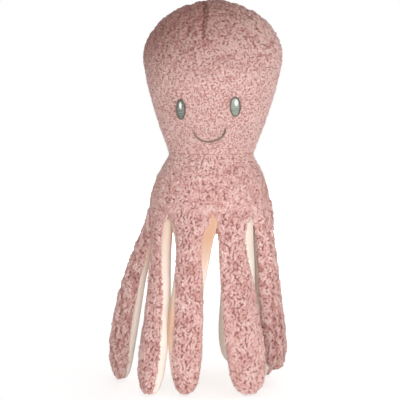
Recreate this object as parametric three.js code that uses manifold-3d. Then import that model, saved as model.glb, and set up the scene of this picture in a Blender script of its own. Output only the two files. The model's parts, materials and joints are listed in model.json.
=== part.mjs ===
import * as THREE from 'three';
import { mergeVertices } from 'three/addons/utils/BufferGeometryUtils.js';
import Module from 'manifold-3d';

// Plush octopus: a stuffed head on a flared body, with eight stuffed arms sewn round the hem.
// Millimetres, +Z up. The face looks along -Y, and the toy stands on the tips of its arms.
// The origin is on the ground, at the middle of the box round the toy.

const wasm = await Module();
wasm.setup();
const { Manifold, Mesh: SolidMesh } = wasm;

// Cloth and clearances
const FABRIC = 2; // one layer of curly plush, or of jersey with its backing
const CLEARANCE = 0.3; // between pieces that lie on each other
const CUT_OVERRUN = 5; // how far a cutting solid runs past what it cuts
const FLAT_DEPTH = 0.5; // how deep the ground flattens the tip of an arm
const SAME_POINT = 0.0005; // corners nearer than this are one corner

// Body
const HEM_HEIGHT = 180;
const BODY_HEIGHT = 54; // from the hem to the neck
const BODY_WIDTH = 120;
const BODY_DEPTH = 104;
const NECK_FOLD_DROP = 4; // from the neck down to where the body starts to flare
const BASE_SAG = 28; // how far the stuffing pushes the underside down between the arms
const BASE_SAG_GAP = 4; // from the sagging part to the arm roots

// Neck, a ball on which the head tilts
const NECK_DIAMETER = 85;
const NECK_CLEARANCE = 0.7; // where the head turns
const TILT_LIMIT = 8; // degrees, each way, forwards and sideways
const RIM_RISE = 9; // from the middle of the neck to the edge of each cover
const BAND_ANGLE = 24; // degrees above and below the middle of the neck
const STITCH_WIDTH = 1.4;

// Head
const HEAD_HEIGHT = 151; // from the neck to the crown
const HEAD_WIDTH = 138;
const HEAD_DEPTH = 118;
const HEAD_WIDEST_RISE = 94;
const HEAD_LEAN = 3; // of the crown to the right of the neck, as seen
const CHEEK_POWER = 1.45;
const DOME_POWER = 2;

// Face, embroidered on the front of the head
const FACE_TURN = -4.2; // from the middle of the head to the middle of the face
const FACE_ROLL = 3; // degrees
const EYE_RISE = 44.5;
const EYE_SPACING = 52;
const EYE_WIDTH = 10.5;
const EYE_HEIGHT = 19;
const EYE_THICKNESS = 1.2;
const GLINT_WIDTH = 3.2;
const GLINT_HEIGHT = 7.5;
const GLINT_THICKNESS = 0.6;
const GLINT_ABOVE_EYE_MIDDLE = 3.6;
const SMILE_RISE = 23.5; // of its two ends
const SMILE_WIDTH = 30;
const SMILE_DROP = 12.5;
const SMILE_STITCH_WIDTH = 2.2;
const SMILE_STITCH_THICKNESS = 1.2;
const SMILE_END_SHARE = 0.04; // of half an ellipse, left out at each end of the smile
const SMILE_AHEAD_SHARE = 0.01; // of it, over which its direction is taken
const PATCH_FLAT_SHARE = 0.6; // of a stitched oval's half width, where its full thickness ends
const PATCH_RIM_SHARE = 0.97; // of it, where its edge is rounded
const SLOPE_SHARE = 0.001; // of the head's height, over which its slope is taken

// Arms
const ARM_ROOT_WIDTH = 28;
const ARM_ROOT_THICKNESS = 20;
const ARM_ROOT_OVERHANG = 2; // of its outer edge past the hem
const ARM_ROOT_FLARE = 5; // added to the width at the hem, where the arm widens into the body
const ARM_FLARE_SHARE = 0.2; // of its length, over which that is gone
const ARM_WIDTH = 34; // where it is widest
const ARM_THICKNESS = 22;
const ARM_WIDEST_SHARE = 0.72; // of the arm's length from the root
const ARM_SWELL_POWER = 1.5; // how late an arm swells on the way to its widest place
const ARM_TIP_POWER = 3;
const ARM_SET_SHARE = 0.12; // of its length, over which an arm takes up its own direction
const TWIST_PLACE_SHARES = [0, 0.2, 0.55, 1]; // of its length, where an arm's twists are given

// Each arm by its place round the hem in degrees from the face, positive to the toy's right as seen.
// reach and sway are how far the tip hangs outwards and sideways from the root, and lift how far it
// hangs above the ground, as shares of the hem's height. early is where along that way the middle of
// the arm pulls, girths are shares of the arm's width at its root and at its widest place, and twists
// are degrees at the places given above.
const ARM_SHARES = [
  {
    name: 'front_left', place: -22.5, reach: 0.063, sway: -0.012, lift: 0, early: 0.5,
    girths: [1, 1.06], twists: [0, -8, 24, 4],
  },
  {
    name: 'front_right', place: 22.5, reach: 0.082, sway: 0.072, lift: 0, early: 0.5,
    girths: [0.94, 1.2], twists: [0, 0, 8, -6],
  },
  {
    name: 'left_front', place: -67.5, reach: 0.149, sway: 0.143, lift: 0, early: 0.25,
    girths: [0.85, 0.95], twists: [0, 0, 20, 30],
  },
  {
    name: 'left_back', place: -112.5, reach: 0.225, sway: 0.101, lift: 0, early: 1,
    girths: [1, 1.04], twists: [0, 40, 58, 60],
  },
  {
    name: 'right_front', place: 67.5, reach: 0.055, sway: 0.101, lift: 0.082, early: 0.6,
    girths: [0.94, 0.94], twists: [0, -4, -14, -16],
  },
  {
    name: 'right_back', place: 112.5, reach: 0.072, sway: 0.065, lift: 0, early: 0.6,
    girths: [1, 1], twists: [0, 0, 0, 0],
  },
  {
    name: 'back_left', place: -157.5, reach: 0.067, sway: 0.01, lift: 0, early: 0.5,
    girths: [0.94, 0.94], twists: [0, 8, 6, 0],
  },
  {
    name: 'back_right', place: 157.5, reach: 0.078, sway: 0.011, lift: 0.055, early: 0.5,
    girths: [1, 1], twists: [0, -6, -8, 0],
  },
];

// How finely the surfaces are divided
const ROUND_SIDES = 28;
const HEAD_CHEEK_STEPS = 5;
const HEAD_DOME_STEPS = 5;
const BODY_STEPS = 4;
const SAG_STEPS = 5;
const BALL_STEPS = 10;
const ARM_STEPS = 8;
const ARM_TIP_STEPS = 6;
const ARM_HALF_SIDES = 6;
const STITCH_SIDES = 5;
const PATCH_SIDES = 16;
const SMILE_STEPS = 14;

const degrees = THREE.MathUtils.degToRad;
const mix = THREE.MathUtils.lerp;
const ease = THREE.MathUtils.smoothstep;
const at = (x, y, z) => new THREE.Vector3(x, y, z);
const along = (start, way, distance) => start.clone().addScaledVector(way, distance);

const neckHeight = HEM_HEIGHT + BODY_HEIGHT;
const wholeHeight = neckHeight + HEAD_HEIGHT;
const neckRadius = NECK_DIAMETER / 2;
const ballRadius = neckRadius - FABRIC - NECK_CLEARANCE;
const stuffingInset = FABRIC + CLEARANCE;
const bandSweep = neckRadius * Math.sin(degrees(BAND_ANGLE + TILT_LIMIT)) + CLEARANCE;

const material = (color, roughness) => new THREE.MeshStandardMaterial({ color, roughness, metalness: 0 });
const rosePlush = material(0xd9a8a2, 0.95);
const creamJersey = material(0xf4e7d6, 0.9);
const whiteFibre = material(0xf6f4ee, 1);
const greyThread = material(0x979b96, 0.45);
const whiteThread = material(0xf7f7f4, 0.4);
const brownThread = material(0x83705f, 0.55);
const roseThread = material(0xc48f8a, 0.6);

// A closed solid from a list of triangles given by their corners. Triangles that have shrunk to a
// line are left out, and a list that faces inwards is turned round.
function solidFromTriangles(corners) {
  const loose = new THREE.BufferGeometry().setFromPoints(corners);
  const merged = mergeVertices(loose, SAME_POINT);
  const index = merged.index.array;
  const kept = [];
  for (let i = 0; i < index.length; i += 3) {
    const [a, b, c] = [index[i], index[i + 1], index[i + 2]];
    if (a !== b && b !== c && c !== a) kept.push(a, b, c);
  }
  const positions = merged.attributes.position.array;
  const made = new Manifold(new SolidMesh({
    numProp: 3,
    vertProperties: positions,
    triVerts: new Uint32Array(kept),
  }));
  if (made.volume() > 0) return made;
  return new Manifold(new SolidMesh({
    numProp: 3,
    vertProperties: positions,
    triVerts: new Uint32Array(kept).reverse(),
  }));
}

// The two triangles of a four-sided face.
const facet = (a, b, c, d) => [a, b, c, a, c, d];

// A closed skin over a stack of rings. A ring of one point is a pole, and an open end gets a flat cap.
function solidFromRings(rings) {
  const corners = [];
  const sides = Math.max(...rings.map((ring) => ring.length));
  const pick = (ring, j) => ring[ring.length === 1 ? 0 : j % sides];
  for (let i = 0; i + 1 < rings.length; i++) {
    for (let j = 0; j < sides; j++) {
      corners.push(...facet(
        pick(rings[i], j), pick(rings[i], j + 1), pick(rings[i + 1], j + 1), pick(rings[i + 1], j),
      ));
    }
  }
  const cap = (ring, facesBack) => {
    if (ring.length === 1) return;
    const middle = ring.reduce((sum, p) => sum.add(p), at(0, 0, 0)).divideScalar(ring.length);
    for (let j = 0; j < sides; j++) {
      const [from, to] = [pick(ring, j), pick(ring, j + 1)];
      corners.push(middle, facesBack ? to : from, facesBack ? from : to);
    }
  };
  cap(rings[0], true);
  cap(rings[rings.length - 1], false);
  return solidFromTriangles(corners);
}

// A level ellipse, with its middle a little to the right of the toy's axis if asked.
function levelRing(halfWidth, halfDepth, height, shift = 0) {
  if (halfWidth < SAME_POINT) return [at(shift, 0, height)];
  return Array.from({ length: ROUND_SIDES }, (_, j) => {
    const turn = (2 * Math.PI * j) / ROUND_SIDES;
    return at(shift + halfWidth * Math.cos(turn), halfDepth * Math.sin(turn), height);
  });
}

function ballAtNeck(radius) {
  const rings = Array.from({ length: 2 * BALL_STEPS + 1 }, (_, i) => {
    const latitude = degrees(-90 + (90 * i) / BALL_STEPS);
    const isPole = i === 0 || i === 2 * BALL_STEPS;
    const across = isPole ? 0 : radius * Math.cos(latitude);
    return levelRing(across, across, neckHeight + radius * Math.sin(latitude));
  });
  return solidFromRings(rings);
}

// A block to cut with, between two corners.
function block(low, high) {
  const size = high.clone().sub(low);
  const geometry = new THREE.BoxGeometry(size.x, size.y, size.z);
  geometry.translate(...low.clone().add(high).divideScalar(2).toArray());
  const loose = geometry.toNonIndexed().getAttribute('position');
  return solidFromTriangles(Array.from({ length: loose.count }, (_, i) => (
    new THREE.Vector3().fromBufferAttribute(loose, i)
  )));
}

// A block wider than the toy, between two heights.
const slab = (low, high) => block(at(-wholeHeight, -wholeHeight, low), at(wholeHeight, wholeHeight, high));

// A block that holds all of the toy in front of the side seams, or behind them.
function halfSpace(isFront) {
  const [near, far] = [CLEARANCE / 2, wholeHeight];
  const low = at(-wholeHeight, isFront ? -far : near, 0);
  return block(low, at(wholeHeight, isFront ? -near : far, wholeHeight + CUT_OVERRUN));
}

function namedMesh(name, solid, look) {
  const { numProp, vertProperties, triVerts } = solid.getMesh();
  const geometry = new THREE.BufferGeometry();
  geometry.setAttribute('position', new THREE.BufferAttribute(new Float32Array(vertProperties), numProp));
  geometry.setIndex(new THREE.BufferAttribute(new Uint32Array(triVerts), 1));
  geometry.computeVertexNormals();
  const mesh = new THREE.Mesh(geometry, look);
  mesh.name = name;
  return mesh;
}

// Half the head's width or depth at a rise above the neck: full at the widest rise, drawn in below it
// to the neck, and closed above it by a dome, which is an ellipse at a power of 2.
function headHalf(size, rise, inset = 0) {
  const widest = size / 2 - inset;
  if (rise > HEAD_WIDEST_RISE) {
    const up = (rise - HEAD_WIDEST_RISE) / (HEAD_HEIGHT - inset - HEAD_WIDEST_RISE);
    return up >= 1 ? 0 : widest * (1 - up ** DOME_POWER) ** (1 / DOME_POWER);
  }
  const down = (HEAD_WIDEST_RISE - rise) / HEAD_WIDEST_RISE;
  return mix(widest, neckRadius - inset, down ** CHEEK_POWER);
}

// How far the head's middle line is to the right of the neck, at a rise above it.
function headShift(rise) {
  return (HEAD_LEAN * rise) / HEAD_HEIGHT;
}

function headSolid(inset) {
  const cheeks = Array.from({ length: HEAD_CHEEK_STEPS }, (_, i) => (
    (HEAD_WIDEST_RISE * i) / HEAD_CHEEK_STEPS
  ));
  const dome = Array.from({ length: HEAD_DOME_STEPS + 1 }, (_, i) => (
    mix(HEAD_WIDEST_RISE, HEAD_HEIGHT - inset, Math.sin(degrees((90 * i) / HEAD_DOME_STEPS)))
  ));
  return solidFromRings([...cheeks, ...dome].map((rise) => levelRing(
    headHalf(HEAD_WIDTH, rise, inset), headHalf(HEAD_DEPTH, rise, inset), neckHeight + rise, headShift(rise),
  )));
}

// Half the body's width or depth at a drop below the neck: below the neck's fold it flares like a
// quarter of a sine wave.
function bodyHalf(size, drop, inset) {
  const way = (drop - NECK_FOLD_DROP) / (BODY_HEIGHT - NECK_FOLD_DROP);
  const flare = Math.sin(degrees(90) * Math.min(Math.max(way, 0), 1));
  return mix(neckRadius, size / 2, flare) - inset;
}

function bodySolid(inset) {
  const drops = Array.from({ length: BODY_STEPS + 1 }, (_, i) => (BODY_HEIGHT * i) / BODY_STEPS);
  drops.push(BODY_HEIGHT + CUT_OVERRUN);
  return solidFromRings(drops.map((drop) => levelRing(
    bodyHalf(BODY_WIDTH, drop, inset), bodyHalf(BODY_DEPTH, drop, inset), neckHeight - drop,
  )));
}

function makeHeadPieces() {
  const shell = headSolid(0).subtract(headSolid(FABRIC))
    .intersect(slab(neckHeight + RIM_RISE, wholeHeight + CUT_OVERRUN));
  const stuffing = headSolid(stuffingInset)
    .intersect(slab(neckHeight + 2 * RIM_RISE, wholeHeight))
    .subtract(ballAtNeck(neckRadius + NECK_CLEARANCE));
  return [
    namedMesh('head_front_cover', shell.intersect(halfSpace(true)), rosePlush),
    namedMesh('head_back_cover', shell.intersect(halfSpace(false)), rosePlush),
    namedMesh('head_stuffing', stuffing, whiteFibre),
  ];
}

function makeNeckPieces() {
  const reach = neckRadius * Math.sin(degrees(BAND_ANGLE));
  const band = ballAtNeck(neckRadius)
    .subtract(ballAtNeck(ballRadius + NECK_CLEARANCE))
    .intersect(slab(neckHeight - reach, neckHeight + reach));
  return [
    namedMesh('neck_seam_band', band, rosePlush),
    namedMesh('neck_stitching', stitchRing(neckRadius + CLEARANCE), roseThread),
  ];
}

// The stuffed bag that sags below the hem between the arms, half an egg with a stem up to a height.
function sagSolid(offset, stemTop) {
  const inwards = ARM_ROOT_THICKNESS - ARM_ROOT_OVERHANG + BASE_SAG_GAP + offset;
  const [a, b] = [BODY_WIDTH / 2 - inwards, BODY_DEPTH / 2 - inwards];
  const rings = Array.from({ length: SAG_STEPS + 1 }, (_, i) => {
    const turn = degrees((90 * i) / SAG_STEPS);
    const share = i === SAG_STEPS ? 0 : Math.cos(turn);
    return levelRing(a * share, b * share, HEM_HEIGHT - (BASE_SAG - offset) * Math.sin(turn));
  });
  return solidFromRings([levelRing(a, b, stemTop), ...rings]);
}

function makeBodyPieces() {
  const baseTop = HEM_HEIGHT + FABRIC;
  const shell = bodySolid(0).subtract(bodySolid(FABRIC)).intersect(slab(HEM_HEIGHT, neckHeight - RIM_RISE));
  const filled = bodySolid(stuffingInset);
  const base = filled.intersect(slab(HEM_HEIGHT, baseTop)).add(sagSolid(0, baseTop))
    .subtract(sagSolid(FABRIC, baseTop + CUT_OVERRUN));
  const core = filled.intersect(slab(baseTop + CLEARANCE, neckHeight - bandSweep))
    .add(ballAtNeck(ballRadius)).add(sagSolid(stuffingInset, baseTop + CUT_OVERRUN));
  return [
    namedMesh('body_front_cover', shell.intersect(halfSpace(true)), rosePlush),
    namedMesh('body_back_cover', shell.intersect(halfSpace(false)), rosePlush),
    namedMesh('base_underside', base, creamJersey),
    namedMesh('body_stuffing', core, whiteFibre),
  ];
}

// A round of thread that lies on the neck band.
function stitchRing(innerRadius) {
  const half = STITCH_WIDTH / 2;
  const corners = [];
  const spot = (i, j) => {
    const round = (2 * Math.PI * i) / ROUND_SIDES;
    const turn = (2 * Math.PI * j) / STITCH_SIDES;
    const radius = innerRadius + half + half * Math.cos(turn);
    return at(radius * Math.cos(round), radius * Math.sin(round), neckHeight + half * Math.sin(turn));
  };
  for (let i = 0; i < ROUND_SIDES; i++) {
    for (let j = 0; j < STITCH_SIDES; j++) {
      const [i2, j2] = [(i + 1) % ROUND_SIDES, (j + 1) % STITCH_SIDES];
      corners.push(...facet(spot(i, j), spot(i2, j), spot(i2, j2), spot(i, j2)));
    }
  }
  return solidFromTriangles(corners);
}

// A point over the front of the head, lifted off the cloth: x across from the head's middle line, and
// rise above the neck.
function faceSpot(x, rise, lift) {
  const [a, b] = [headHalf(HEAD_WIDTH, rise), headHalf(HEAD_DEPTH, rise)];
  const step = SLOPE_SHARE * HEAD_HEIGHT;
  const slopeA = (headHalf(HEAD_WIDTH, rise + step) - headHalf(HEAD_WIDTH, rise - step)) / (2 * step);
  const slopeB = (headHalf(HEAD_DEPTH, rise + step) - headHalf(HEAD_DEPTH, rise - step)) / (2 * step);
  const y = -b * Math.sqrt(1 - (x / a) ** 2);
  const normal = at(x / a ** 2, y / b ** 2, -(x ** 2 * slopeA) / a ** 3 - (y ** 2 * slopeB) / b ** 3);
  return along(at(x + headShift(rise), y, neckHeight + rise), normal.normalize(), lift);
}

// Turns a place on the level face by the face's roll, about the middle between the eyes.
function rolled(x, rise) {
  const roll = degrees(FACE_ROLL);
  const up = rise - EYE_RISE;
  return [
    FACE_TURN + x * Math.cos(roll) - up * Math.sin(roll),
    EYE_RISE + x * Math.sin(roll) + up * Math.cos(roll),
  ];
}

// An oval pad of satin stitches lying on the head, thickest in its middle.
function stitchedOval(x, rise, width, height, lift, thickness) {
  const ring = (share, raise) => Array.from({ length: PATCH_SIDES }, (_, j) => {
    const turn = (2 * Math.PI * j) / PATCH_SIDES;
    const [across, up] = [(width / 2) * Math.cos(turn), (height / 2) * Math.sin(turn)];
    return faceSpot(...rolled(x + share * across, rise + share * up), raise);
  });
  const middle = (raise) => [faceSpot(...rolled(x, rise), raise)];
  return solidFromRings([
    middle(lift),
    ring(PATCH_FLAT_SHARE, lift),
    ring(1, lift),
    ring(PATCH_RIM_SHARE, lift + thickness / 2),
    ring(PATCH_FLAT_SHARE, lift + thickness),
    middle(lift + thickness),
  ]);
}

// The smile: a rounded stitch line on half an ellipse that hangs between its two ends.
function smileSolid() {
  const lift = CLEARANCE + SMILE_STITCH_THICKNESS / 2;
  const spot = (share, raise) => {
    const turn = Math.PI * (1 + share);
    const [x, rise] = [(SMILE_WIDTH / 2) * Math.cos(turn), SMILE_RISE + SMILE_DROP * Math.sin(turn)];
    return faceSpot(...rolled(x, rise), raise);
  };
  const rings = Array.from({ length: SMILE_STEPS + 1 }, (_, i) => {
    const share = mix(SMILE_END_SHARE, 1 - SMILE_END_SHARE, i / SMILE_STEPS);
    const middle = spot(share, lift);
    const [before, after] = [-1, 1].map((sign) => spot(share + sign * SMILE_AHEAD_SHARE, lift));
    const ahead = after.sub(before).normalize();
    const out = spot(share, lift + SMILE_STITCH_WIDTH).sub(middle).normalize();
    const across = ahead.clone().cross(out);
    return Array.from({ length: STITCH_SIDES }, (_, j) => {
      const turn = (2 * Math.PI * j) / STITCH_SIDES;
      return along(
        along(middle, across, (SMILE_STITCH_WIDTH / 2) * Math.cos(turn)),
        out, (SMILE_STITCH_THICKNESS / 2) * Math.sin(turn),
      );
    });
  });
  return solidFromRings(rings);
}

function makeFacePieces() {
  const pieces = [namedMesh('smile', smileSolid(), brownThread)];
  const glintLift = CLEARANCE + EYE_THICKNESS + CLEARANCE;
  for (const [side, sign] of [['left', -1], ['right', 1]]) {
    const x = (sign * EYE_SPACING) / 2;
    const eye = stitchedOval(x, EYE_RISE, EYE_WIDTH, EYE_HEIGHT, CLEARANCE, EYE_THICKNESS);
    const glint = stitchedOval(
      x, EYE_RISE + GLINT_ABOVE_EYE_MIDDLE, GLINT_WIDTH, GLINT_HEIGHT, glintLift, GLINT_THICKNESS,
    );
    pieces.push(namedMesh(`eye_${side}`, eye, greyThread));
    pieces.push(namedMesh(`eye_glint_${side}`, glint, whiteThread));
  }
  return pieces;
}

// An arm in its own frame: the origin is the hinge at the outer edge of its root, +X points outwards
// from the hem and +Z up. This is the middle line, a curve from the root to the tip.
function armMiddle(arm, tipHeight) {
  const root = at(-ARM_ROOT_THICKNESS / 2, 0, 0);
  const tip = at(root.x + arm.reach * HEM_HEIGHT, arm.sway * HEM_HEIGHT, tipHeight);
  const pull = at(mix(root.x, tip.x, arm.early), mix(root.y, tip.y, arm.early), (root.z + tip.z) / 2);
  return new THREE.QuadraticBezierCurve3(root, pull, tip);
}

function armTwist(arm, s) {
  const i = Math.min(TWIST_PLACE_SHARES.findLastIndex((place) => place <= s), TWIST_PLACE_SHARES.length - 2);
  const share = ease(s, TWIST_PLACE_SHARES[i], TWIST_PLACE_SHARES[i + 1]);
  return degrees(mix(arm.twists[i], arm.twists[i + 1], share));
}

// How full an arm is at s along it: 1 up to its widest place, then rounded off to nothing at the tip.
function armFullness(s) {
  const past = (s - ARM_WIDEST_SHARE) / (1 - ARM_WIDEST_SHARE);
  return past <= 0 ? 1 : Math.max(0, 1 - past ** ARM_TIP_POWER) ** (1 / ARM_TIP_POWER);
}

// A point of an arm's section at s along it and turn round it, where turn 0 is the middle of the
// outer side. seam moves the outer half and the underside apart.
function armSpot(arm, middle, s, turn, inset, seam) {
  const down = middle.getTangent(s).lerp(at(0, 0, -1), 1 - ease(s, 0, ARM_SET_SHARE)).normalize();
  const level = at(Math.cos(armTwist(arm, s)), Math.sin(armTwist(arm, s)), 0);
  const facing = along(level, down, -level.dot(down)).normalize();
  const across = down.clone().cross(facing);
  const swell = Math.min(s / ARM_WIDEST_SHARE, 1) ** ARM_SWELL_POWER;
  const fullness = armFullness(s);
  const [rootGirth, widestGirth] = arm.girths;
  const rootWidth = rootGirth * (ARM_ROOT_WIDTH + ARM_ROOT_FLARE * (1 - ease(s, 0, ARM_FLARE_SHARE)));
  const width = mix(rootWidth, widestGirth * ARM_WIDTH, swell);
  const thickness = mix(ARM_ROOT_THICKNESS, ARM_THICKNESS, swell);
  const halfWidth = Math.max(0, (width * fullness) / 2 - inset);
  const halfThickness = Math.max(0, (thickness * fullness) / 2 - inset);
  const centre = middle.getPoint(s * (1 - inset / HEM_HEIGHT));
  const atTip = s === 1;
  return along(
    along(centre, facing, seam + (atTip ? 0 : halfThickness * Math.cos(turn))),
    across, atTip ? 0 : halfWidth * Math.sin(turn),
  );
}

const armStations = [
  ...Array.from({ length: ARM_STEPS }, (_, i) => (ARM_WIDEST_SHARE * i) / ARM_STEPS),
  ...Array.from({ length: ARM_TIP_STEPS + 1 }, (_, i) => (
    mix(ARM_WIDEST_SHARE, 1, Math.sin(degrees((90 * i) / ARM_TIP_STEPS)))
  )),
];

// Half of an arm's cover, from one side seam round to the other, as a shell one cloth thick.
function armHalfCover(arm, middle, isUnderside) {
  const seam = ((isUnderside ? -1 : 1) * CLEARANCE) / 2;
  const grid = (inset) => armStations.map((s) => Array.from({ length: ARM_HALF_SIDES + 1 }, (_, j) => {
    const turn = degrees((isUnderside ? 90 : -90) + (180 * j) / ARM_HALF_SIDES);
    return armSpot(arm, middle, s, turn, inset, seam);
  }));
  const [outer, inner] = [grid(0), grid(FABRIC)];
  const corners = [];
  const last = ARM_HALF_SIDES;
  for (let i = 0; i + 1 < armStations.length; i++) {
    for (let j = 0; j < last; j++) {
      corners.push(...facet(outer[i][j], outer[i][j + 1], outer[i + 1][j + 1], outer[i + 1][j]));
      corners.push(...facet(inner[i][j], inner[i + 1][j], inner[i + 1][j + 1], inner[i][j + 1]));
    }
    corners.push(...facet(outer[i][0], outer[i + 1][0], inner[i + 1][0], inner[i][0]));
    corners.push(...facet(outer[i][last], inner[i][last], inner[i + 1][last], outer[i + 1][last]));
  }
  for (let j = 0; j < last; j++) {
    corners.push(...facet(outer[0][j], inner[0][j], inner[0][j + 1], outer[0][j + 1]));
  }
  return solidFromTriangles(corners);
}

function armStuffing(arm, middle) {
  const sides = 2 * ARM_HALF_SIDES;
  return solidFromRings(armStations.map((s) => {
    const ring = Array.from({ length: sides }, (_, j) => (
      armSpot(arm, middle, s, (2 * Math.PI * j) / sides, stuffingInset, 0)
    ));
    return s === 1 ? ring.slice(0, 1) : ring;
  }));
}

// The height of the end of the middle line, in the arm's frame, at which the arm's lowest point is
// pressed flat by the ground, or hangs at its lift above it.
function armTipHeight(arm) {
  const ground = -(HEM_HEIGHT - CLEARANCE);
  const middle = armMiddle(arm, ground);
  const turns = Array.from({ length: 2 * PATCH_SIDES }, (_, j) => (Math.PI * j) / PATCH_SIDES);
  const heights = armStations.flatMap((s) => turns.map((turn) => armSpot(arm, middle, s, turn, 0, 0).z));
  const wanted = arm.lift > 0 ? ground + arm.lift * HEM_HEIGHT : ground - FLAT_DEPTH;
  return ground + wanted - Math.min(...heights);
}

function makeArm(arm) {
  const [a, b] = [BODY_WIDTH, BODY_DEPTH].map((size) => (
    (size - ARM_ROOT_THICKNESS) / 2 + ARM_ROOT_OVERHANG
  ));
  const place = degrees(arm.place);
  const root = at(a * Math.sin(place), -b * Math.cos(place), HEM_HEIGHT - CLEARANCE);
  const outwards = at(root.x / a ** 2, root.y / b ** 2, 0).normalize();
  const group = new THREE.Group();
  group.name = `${arm.name}_arm`;
  group.position.copy(along(root, outwards, ARM_ROOT_THICKNESS / 2));
  group.rotation.z = Math.atan2(outwards.y, outwards.x);

  const middle = armMiddle(arm, armTipHeight(arm));
  const ground = slab(-wholeHeight, -group.position.z);
  group.add(
    namedMesh(`${arm.name}_arm_top`, armHalfCover(arm, middle, false).subtract(ground), rosePlush),
    namedMesh(`${arm.name}_arm_underside`, armHalfCover(arm, middle, true).subtract(ground), creamJersey),
    namedMesh(`${arm.name}_arm_stuffing`, armStuffing(arm, middle), whiteFibre),
  );
  return group;
}

const octopus = new THREE.Group();
octopus.name = 'plush_octopus';
octopus.add(
  ...makeHeadPieces(), ...makeFacePieces(), ...makeNeckPieces(), ...makeBodyPieces(),
  ...ARM_SHARES.map(makeArm),
);

// The origin goes to the middle of the box round the toy.
const box = new THREE.Box3().setFromObject(octopus, true);
octopus.position.set(-(box.min.x + box.max.x) / 2, -(box.min.y + box.max.y) / 2, 0);

export default octopus;
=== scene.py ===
# %% [markdown]
# # A plush octopus
#
# The real toy is sewn from two cloths: a curly rose plush for the head, the body and the outer
# half of each arm, and a smooth cream jersey for the underside. It is filled with loose fibre.
# Nothing on it is hard, so every solid of the CAD frame is replaced here by a soft piece that has
# the same size. The embroidery, the base and the neck's pieces hang on empties named after the
# bodies that they move with.

import json
import math
from collections import namedtuple
from dataclasses import dataclass

import bpy
import numpy as np
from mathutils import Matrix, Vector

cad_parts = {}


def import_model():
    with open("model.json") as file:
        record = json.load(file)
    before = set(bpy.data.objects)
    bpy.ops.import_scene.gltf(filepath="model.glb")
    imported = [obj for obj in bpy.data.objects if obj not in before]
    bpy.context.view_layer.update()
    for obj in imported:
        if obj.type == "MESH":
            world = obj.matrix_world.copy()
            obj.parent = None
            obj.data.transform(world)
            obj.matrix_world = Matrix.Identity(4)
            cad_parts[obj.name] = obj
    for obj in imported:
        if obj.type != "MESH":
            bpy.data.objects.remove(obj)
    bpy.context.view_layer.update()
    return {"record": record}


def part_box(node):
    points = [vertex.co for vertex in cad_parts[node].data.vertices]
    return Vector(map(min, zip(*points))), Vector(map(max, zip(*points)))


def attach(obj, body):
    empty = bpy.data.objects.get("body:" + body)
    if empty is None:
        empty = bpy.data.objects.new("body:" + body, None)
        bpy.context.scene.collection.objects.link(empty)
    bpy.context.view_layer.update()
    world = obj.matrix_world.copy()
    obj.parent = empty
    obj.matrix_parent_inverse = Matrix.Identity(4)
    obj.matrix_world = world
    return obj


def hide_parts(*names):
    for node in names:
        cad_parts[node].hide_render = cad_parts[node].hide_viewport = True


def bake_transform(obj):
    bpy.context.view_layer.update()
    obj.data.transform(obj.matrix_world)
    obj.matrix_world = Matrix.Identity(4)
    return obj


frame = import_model()
JOINTS = {joint["name"]: joint for joint in frame["record"]["behaviour"]["joints"]}
MM = 0.001

# %% [markdown]
# ## Sizes
#
# Joints give the places that matter: the neck's middle and the hinge at the root of each arm. The
# other sizes are those of the sewing pattern, in millimetres, and the rest follows from them.

# %% Sizes of the head, neck and body
NECK = np.array(JOINTS["head_tilt"]["pos_m"])
NECK_RADIUS = 42.5 * MM
HEAD_WIDTH, HEAD_DEPTH, HEAD_HEIGHT = 138 * MM, 118 * MM, 150 * MM
HEAD_WIDEST_RISE = 94 * MM
HEAD_LEAN = 2.3 * MM  # of the crown to the right of the neck
CHEEK_POWER, DOME_POWER = 1.45, 1.87
CHEEK_SHARE = 0.56  # of the profile that lies below the widest rise
BODY_WIDTH, BODY_DEPTH, BODY_HEIGHT = 120 * MM, 104 * MM, 54 * MM
NECK_FOLD_DROP = 4 * MM  # from the neck's middle down to where the body flares
BODY_LEAN = -1.5 * MM  # of the hem to the right of the neck
HEM_HEIGHT = NECK[2] - BODY_HEIGHT
HEM_TUCK = 3 * MM  # radius on which the plush turns under at the hem
HEM_TUCK_SHARE = 0.1  # the share of the way down, past 1, that this takes
BASE_SAG, BASE_SAG_GAP = 28 * MM, 4 * MM
PILE_DEPTH = 2.2 * MM  # from the outside of the toy down to the cloth that the pile grows on
print("hem at", round(HEM_HEIGHT, 4), "m, crown at", round(NECK[2] + HEAD_HEIGHT, 4), "m")

# %% Sizes of the arms
ARM_ROOT_WIDTH, ARM_ROOT_THICKNESS, ARM_ROOT_FLARE = 28 * MM, 20 * MM, 5 * MM
ARM_ROOT_OVERHANG = 2 * MM  # past the hem
ARM_WIDTH, ARM_THICKNESS = 34 * MM, 22 * MM
ARM_FLARE_SHARE, ARM_WIDEST_SHARE, ARM_SET_SHARE = 0.2, 0.72, 0.12
ARM_SWELL_POWER, ARM_TIP_POWER = 1.5, 3
ARM_START = -0.03  # in lengths of the arm, inside the body's hem
TWIST_PLACE_SHARES = (0, 0.2, 0.55, 1)


# %% How one arm hangs
@dataclass
class Arm:
    """How one arm hangs. reach and sway take its tip outwards and sideways, in shares of the hem's
    height. early is where its middle pulls, girths its shares of the usual width at the root and at
    the widest place, and twists its turn in degrees at four places. dusk darkens the plush
    towards the tip as painted shade, and relief is how clumpy its pile is. The rest has an entry
    for each edge, first the one at a turn of -90 degrees. rolls: the degrees by which the cream
    comes round it, and the share of the length where that ends. webs: the millimetres by which the
    jersey spreads at the root, where that ends, and how tan it is, as warm painted shade. slacks:
    the millimetres by which it hangs out half way down, and how tan it is there, as painted shade
    too.
    bulges: the millimetres by which the whole arm swells."""

    reach: float
    sway: float
    early: float
    girths: tuple
    twists: tuple
    rolls: tuple = ((0, 2), (0, 2))
    webs: tuple = ((4, 0.3, 0.9), (4, 0.3, 0.9))
    slacks: tuple = ((0, 0), (0, 0))
    bulges: tuple = (0, 0)
    dusk: float = 0
    relief: float = 1
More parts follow.
